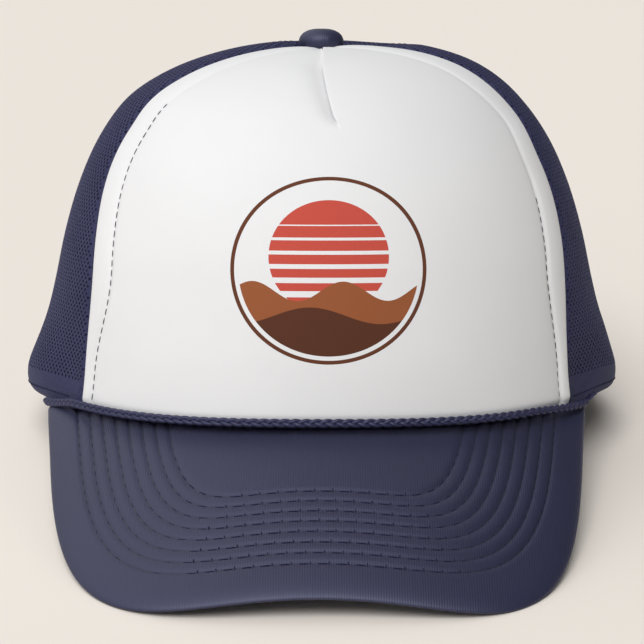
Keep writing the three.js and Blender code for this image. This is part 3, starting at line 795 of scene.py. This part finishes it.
def sew(name, rows, pitch, length, radius, sink=0.0, tick=0.0):
    """Rows hold points in the hat's own frame and the cloth's normals there. A tick is the short
    pull across the end of a stitch, where a row runs straight across the middle of the piece."""
    bm = bmesh.new()
    count = 0
    for points, normals in rows:
        centres, ways, numbers = along_row(points, pitch)
        for centre, way, up in zip(centres, ways, normals[numbers]):
            way, up = Vector(way), Vector(up)
            side = up.cross(way).normalized()
            up = way.cross(side).normalized()
            turn = Matrix((way, side, up)).transposed().to_4x4()
            size = Matrix.Diagonal((length / 2 * rng.uniform(0.92, 1.04), radius, radius * 0.8, 1))
            deep = sink * float(smoothstep(SINK_FROM, SINK_TO, abs(centre[0])))
            place = Matrix.Translation(Vector(centre) - up * deep)
            bmesh.ops.create_icosphere(bm, subdivisions=1, radius=1.0, matrix=place @ turn @ size)
            if tick and abs(centre[0]) < TICK_SIDE_LIMIT and abs(way.x) > TICK_STRAIGHTNESS:
                size = Matrix.Diagonal((TICK_RADIUS, tick / 2 * rng.uniform(0.7, 1.1), TICK_RADIUS, 1))
                end = way * (length / 2 + TICK_GAP) * math.copysign(1, way.x)
                end = end + side * TICK_ASIDE * math.copysign(1, side.y)
                place = Matrix.Translation(Vector(centre) + end + up * TICK_LIFT)
                bmesh.ops.create_icosphere(bm, subdivisions=1, radius=1.0, matrix=place @ turn @ size)
            count += 1
    piece = bend(name, bm, lambda flat: (flat, flat[:, :2]), STITCH_THREAD)
    print(name, count, "stitches")
    tell(piece)


def crown_row(angle, level, depth):
    return crown_inset(angle, level, depth), crown_normal(angle, level)


turn_grid, out_grid = np.meshgrid(np.linspace(-0.998, 0.998, 840), np.linspace(0.0, 0.97, 150))
field = row_number(peak_point(turn_grid.ravel(), out_grid.ravel())).reshape(turn_grid.shape)
peak_rows = []
for number in range(ROW_COUNT):
    turns, outs = [], []
    for column in range(field.shape[1]):
        line = field[::-1, column]
        if line.max() > number > line.min():
            turns.append(turn_grid[0, column])
            outs.append(np.interp(number, line, out_grid[::-1, column]))
    turns, outs = np.array(turns), np.array(outs)
    normals, _ = peak_frame(turns, outs)
    points = peak_point(turns, outs) - normals * (GROOVE_DEPTH + DRAW_DEPTH - PEAK_THREAD_LIFT)
    peak_rows.append((points, normals))
    print("row", number, "from turn", turns.min().round(3), "to", turns.max().round(3))
sew("quilting_stitches", peak_rows, pitch=5.1, length=3.4, radius=0.2, sink=0.17, tick=1.3)

# %% Topstitch on the foam front, the hem and the back seams
TOPSTITCH_END = {-1: 97.5, 1: 67}
HEM_STITCH_HEIGHT = 3.6
SEAM_STITCH_ASIDE = 1.7
topstitch_rows = []
for hand in (-1, 1):
    height = np.linspace(3, TOPSTITCH_END[hand], 400)
    level = level_at(height)
    angle = front_seam(hand, level) - hand * roll_width(hand, height) / section("side", level)
    topstitch_rows.append(crown_row(angle, level, 0.75))
sew("front_topstitch", topstitch_rows, pitch=3.0, length=2.55, radius=0.16)

hem_rows = []
for hand in (-1, 1):
    angle = hand * np.linspace(rad(60), rad(155), 500)
    down, inward = hem_sag(angle, HEM_STITCH_HEIGHT)
    points, normals = crown_row(angle, level_at(np.full(angle.shape, HEM_STITCH_HEIGHT)), inward - 0.05)
    points[:, 2] -= down
    hem_rows.append((points, normals))
sew("hem_stitches", hem_rows, pitch=1.6, length=1.2, radius=0.24)

seam_rows = []
for seam, low, count in ((-BACK_SEAM, 0.0, 400), (BACK_SEAM, 0.0, 400), (math.pi, level_at(56.0), 300)):
    for side in (-1, 1):
        level = np.linspace(low, 0.97, count)
        angle = seam + side * SEAM_STITCH_ASIDE / section("side", level)
        seam_rows.append(crown_row(angle, level, 0.02))
sew("seam_stitches", seam_rows, pitch=2.6, length=2.0, radius=0.17)

# %% [markdown]
# The braid is a flat plait of three round yarns, sewn over the seam between peak and front. Each yarn
# swings from side to side and dips under the others a third of a turn apart, which gives the herringbone
# bumps. Each is a tube made of a grid rolled round its length.

# %% Plaited braid
BRAID_DIAMETER, BRAID_GAP, BRAID_HEIGHT, BRAID_LEVEL = 2.6, 0.4, 1.55, 0.012
BRAID_START, BRAID_SPAN = -69, 129.8
RIGHT_DROOP, LEFT_DROOP = 2.4, 2.0
PLAIT_PERIOD, PLAIT_SWING, PLAIT_DIP, PLAIT_TILT = 9.3, 0.72, 0.34, 0.35
YARN_RADIUS = 0.62


def braid_angle(share):
    return rad(BRAID_START + BRAID_SPAN * share)


def braid_away(angle):
    """The level direction away from the crown at the braid's seam."""
    return unit(crown_normal(angle, np.full(angle.shape, BRAID_LEVEL)) * np.array([1, 1, 0]))


def braid_line(share):
    angle = braid_angle(share)
    centre = crown(angle, np.full(angle.shape, BRAID_LEVEL))
    centre = centre + braid_away(angle) * (BRAID_DIAMETER / 2 + BRAID_GAP)
    right, left = smoothstep(rad(54), rad(68), -angle), smoothstep(rad(40), rad(62), angle)
    centre[:, 2] = rim_height(angle) + BRAID_HEIGHT - (RIGHT_DROOP * right + LEFT_DROOP * left)
    return centre


braid_shares = np.linspace(0, 1, 3000)
braid_lengths = run_lengths(braid_line(braid_shares))
braid_length = braid_lengths[-1]


def yarn_formula(phase):
    def place(length):
        share = np.interp(length, braid_lengths, braid_shares)
        centre = braid_line(share)
        way = unit(braid_line(np.minimum(share + 1e-3, 1)) - braid_line(np.maximum(share - 1e-3, 0)))
        away = braid_away(braid_angle(share))
        up = unit(np.cross(away, way))
        tilt = unit(away + up * PLAIT_TILT)
        across = unit(np.cross(tilt, way))
        turn = 2 * np.pi * (length / PLAIT_PERIOD) + phase
        ends = smoothstep(0, 2.0, length) * (1 - smoothstep(braid_length - 2.0, braid_length, length))
        swing, dip = PLAIT_SWING * np.sin(turn) * ends, PLAIT_DIP * np.sin(2 * turn)
        offset = across * swing[:, None] + tilt * dip[:, None]
        return centre + offset, tilt

    def formula(flat):
        length = flat[:, 0] * braid_length
        round_angle = flat[:, 1] * 2 * np.pi
        here, tilt = place(length)
        ahead, _ = place(np.minimum(length + 0.05, braid_length))
        behind, _ = place(np.maximum(length - 0.05, 0))
        way = unit(ahead - behind)
        side = unit(np.cross(way, tilt))
        up = np.cross(side, way)
        full = np.sin(np.pi * np.clip(length / braid_length, 0, 1)) ** 0.02
        radius = YARN_RADIUS * (1 - 0.5 * (1 - full))
        ring = side * np.cos(round_angle)[:, None] + up * np.sin(round_angle)[:, None]
        cloth = np.stack([length, flat[:, 1] * 2 * np.pi * YARN_RADIUS], axis=-1)
        return here + ring * radius[:, None], cloth

    return formula


def close_tube(bm):
    """Joins the two long edges of the rolled grid and closes its ends."""
    bmesh.ops.remove_doubles(bm, verts=bm.verts, dist=1e-6)
    bmesh.ops.holes_fill(bm, edges=[edge for edge in bm.edges if edge.is_boundary], sides=0)
    bmesh.ops.recalc_face_normals(bm, faces=bm.faces)


print("braid length:", round(float(braid_length), 1), "mm")
for number in range(3):
    yarn = bend(f"braid_yarn_{number}", grid(760, 8), yarn_formula(number * 2 * math.pi / 3), BRAID_YARN,
                ["peak_braid"])
    edit_mesh(yarn, close_tube)
    tell(yarn)

# %% [markdown]
# The button is a metal shell covered in a disc of the same twill, drawn in underneath. Its section is
# spun round its own axis, and a few shallow pleats show at the edge where the cloth is gathered.

# %% Covered button
BUTTON_RADIUS, BUTTON_HEIGHT, BUTTON_EDGE = 7.3, 5.0, 0.9
BUTTON_RINGS = 14
BUTTON_PLACE = (-0.75, 0, CROWN_HEIGHT + 0.9)
PLEATS, PLEAT_DEPTH = 17, 0.014


def covered_button():
    bm = bmesh.new()
    profile = [(0.0, -1.9), (5.4, -1.9), (6.6, -1.3), (7.2, -0.2)]
    for ring in range(BUTTON_RINGS + 1):
        bow = math.pi / 2 * ring / BUTTON_RINGS
        reach = BUTTON_RADIUS * math.cos(bow) ** 0.75 if ring < BUTTON_RINGS else 0.0
        profile.append((reach, BUTTON_EDGE + (BUTTON_HEIGHT - BUTTON_EDGE) * math.sin(bow)))
    verts = [bm.verts.new((radius, 0, height)) for radius, height in profile]
    edges = [bm.edges.new(pair) for pair in zip(verts, verts[1:])]
    bmesh.ops.spin(bm, geom=verts + edges, axis=(0, 0, 1), cent=(0, 0, 0), angle=2 * math.pi, steps=64,
                   use_merge=True)
    bmesh.ops.remove_doubles(bm, verts=bm.verts, dist=1e-4)
    bmesh.ops.recalc_face_normals(bm, faces=bm.faces)
    return bm


def button_formula(flat):
    radius = np.hypot(flat[:, 0], flat[:, 1])
    angle = np.arctan2(flat[:, 1], flat[:, 0])
    low = 1 - smoothstep(0.2, 3.0, flat[:, 2])
    pleat = 1 - PLEAT_DEPTH * np.sin(angle * PLEATS + 0.8 * np.sin(angle * 3)) * low * (radius > 3)
    points = flat * np.stack([pleat, pleat, np.ones(pleat.shape)], axis=-1)
    points = points + np.array(BUTTON_PLACE)
    return points, flat[:, :2] * (1 + 0.12 * smoothstep(4, 9, radius))[:, None]


tell(bend("button_cover", covered_button(), button_formula, NAVY_TWILL, ["top_button"]))

# %% [markdown]
# The sweatband is a folded strip of soft cotton sewn inside the rim. It stands a little loose, so its
# upper edge waves gently. At the front its lower edge reaches down behind the peak's inner end.

# %% Sweatband
BAND_TOP_LEVEL, BAND_END, BAND_DROP = 0.235, 156, 3.3


def band_formula(flat):
    angle = rad(-BAND_END + 2 * BAND_END * flat[:, 0])
    level = BAND_TOP_LEVEL * flat[:, 1]
    wave = 0.35 * np.sin(angle * 11 + 0.7) * np.sin(angle * 4.3) * flat[:, 1]
    fold = 0.3 * np.exp(-((flat[:, 1] - 0.12) / 0.05) ** 2)
    points = crown_inset(angle, level, band_inset(angle) + 0.4 + wave + fold, swollen=False)
    over_peak = 1 - smoothstep(rad(57), rad(70), np.abs(angle))
    points[:, 2] -= BAND_DROP * over_peak * np.clip(1 - flat[:, 1] * 3, 0, 1)
    return points, np.stack([angle * 90, section("height", level)], axis=-1)


inner_band = bend("inner_band", grid(220, 12), band_formula, BAND_COTTON, ["sweatband"],
                  floor=True)
wall(inner_band, thickness=1.0)
tell(inner_band)

# %% [markdown]
# A tape of twill is folded over the net's edge round the opening at the back. It follows an arch, which
# is half an ellipse on the crown's surface, and is stitched along both of its edges.

# %% Arch tape
TAPE_PROUD, TAPE_EDGE_DROP, TAPE_GROOVE = 0.6, 0.75, 0.25
TAPE_STITCHES_ACROSS = (1.6, 6.4)


def arch_place(across, bow):
    """A point of the crown on an arch widened by a margin, as an angle and a level."""
    x = (ARCH_HALF_WIDTH + across) * np.cos(bow)
    height = (ARCH_HEIGHT + across) * np.sin(bow)
    level = level_at(height)
    angle = np.full(x.shape, math.pi)
    for _ in range(4):
        swell = swell_size(angle, height)
        angle = np.pi - np.arcsin(np.clip(x / (section("side", level) + swell), -1, 1))
        angle = np.where(angle > np.pi, angle - 2 * np.pi, angle)
    return angle, level


def tape_formula(flat):
    bow = np.pi * flat[:, 0]
    across = TAPE_WIDTH * flat[:, 1]
    angle, level = arch_place(across, bow)
    proud = TAPE_PROUD - TAPE_EDGE_DROP * np.abs(2 * flat[:, 1] - 1) ** 6
    for stitched in TAPE_STITCHES_ACROSS:
        proud -= TAPE_GROOVE * np.exp(-((flat[:, 1] - stitched / TAPE_WIDTH) / 0.07) ** 2)
    return crown_inset(angle, level, -proud), np.stack([bow * 44, across], axis=-1)


arch_tape = bend("arch_tape", grid(120, 16), tape_formula, NAVY_TWILL, ["arch_binding"],
                 floor=True)
edit_mesh(arch_tape, lambda bm: bmesh.ops.reverse_faces(bm, faces=bm.faces))
wall(arch_tape, thickness=2.0)
tell(arch_tape)

tape_rows = []
for across in TAPE_STITCHES_ACROSS:
    bow = np.linspace(0.03, math.pi - 0.03, 400)
    angle, level = arch_place(np.full(bow.shape, across), bow)
    tape_rows.append(crown_row(angle, level, -0.3))
sew("tape_stitches", tape_rows, pitch=2.6, length=2.0, radius=0.19)

# %% [markdown]
# The strap is moulded plastic. Its solid is already right, so it stays and only gets its material.

# %% Strap
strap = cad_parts["snap_strap"]
strap.data.materials.clear()
strap.data.materials.append(STRAP_PLASTIC)
print("strap keeps its solid")

# %% [markdown]
# The floor is pale paper that catches a soft shadow. A sun lamp with a wide angle stands for one softbox,
# which shines down from the front, a little from the left. A white tent keeps the shadows open: it is
# bright on the left and overhead, and dim on the right and near the table.

# %% Floor and light
TENT_BRIGHT_SIDE = (-1.0, 0.0, 0.0)
TENT_DIM, TENT_BRIGHT, TENT_LOW = 0.1, 1.05, 0.15

PALE_PAPER, tree = new_material("pale paper")
place = add(tree, "TexCoord").outputs["Object"]
grain = add(tree, "TexNoise", {"Vector": place, "Scale": 900.0})
bump = add(tree, "Bump", {"Height": grain, "Strength": 0.02, "Distance": 0.0002})
shader = add(tree, "BsdfPrincipled", {
    "Base Color": linear("#e1dad2"), "Roughness": 0.9, "Normal": bump, "Specular IOR Level": 0.1})
add(tree, "OutputMaterial", {"Surface": shader})

bm = bmesh.new()
bmesh.ops.create_grid(bm, x_segments=1, y_segments=1, size=6)
floor_mesh = bpy.data.meshes.new("floor")
bm.to_mesh(floor_mesh)
bm.free()
floor_mesh.materials.append(PALE_PAPER)
floor = bpy.data.objects.new("floor", floor_mesh)
bpy.context.scene.collection.objects.link(floor)

light = bpy.data.lights.new("softbox", "SUN")
light.energy = 2.3
light.angle = math.radians(36)
lamp = bpy.data.objects.new("softbox", light)
lamp.rotation_euler = Vector((0.12, 0.63, -0.75)).to_track_quat("-Z", "Y").to_euler()
bpy.context.scene.collection.objects.link(lamp)

world = bpy.data.worlds.new("studio tent")
bpy.context.scene.world = world
world.use_nodes = True
tree = world.node_tree
tree.nodes.clear()
ways = add(tree, "TexCoord").outputs["Generated"]
toward = add(tree, "VectorMath", {0: ways, 1: TENT_BRIGHT_SIDE}, operation="DOT_PRODUCT")
share = add(tree, "MapRange", {
    "Value": toward.outputs["Value"], "From Min": -0.4, "From Max": 0.35, "To Min": TENT_DIM,
    "To Max": TENT_BRIGHT,
}, interpolation_type="SMOOTHSTEP")
up = add(tree, "SeparateXYZ", {0: ways}).outputs["Z"]
height = add(tree, "MapRange", {
    "Value": up, "From Min": -0.05, "From Max": 0.5, "To Min": TENT_LOW,
}, interpolation_type="SMOOTHSTEP")
strength = add(tree, "Math", {0: share, 1: height}, operation="MULTIPLY")
tent = add(tree, "Background", {"Color": linear("#ffffff"), "Strength": strength})
add(tree, "OutputWorld", {"Surface": tent})
bpy.context.scene.view_settings.view_transform = "Standard"
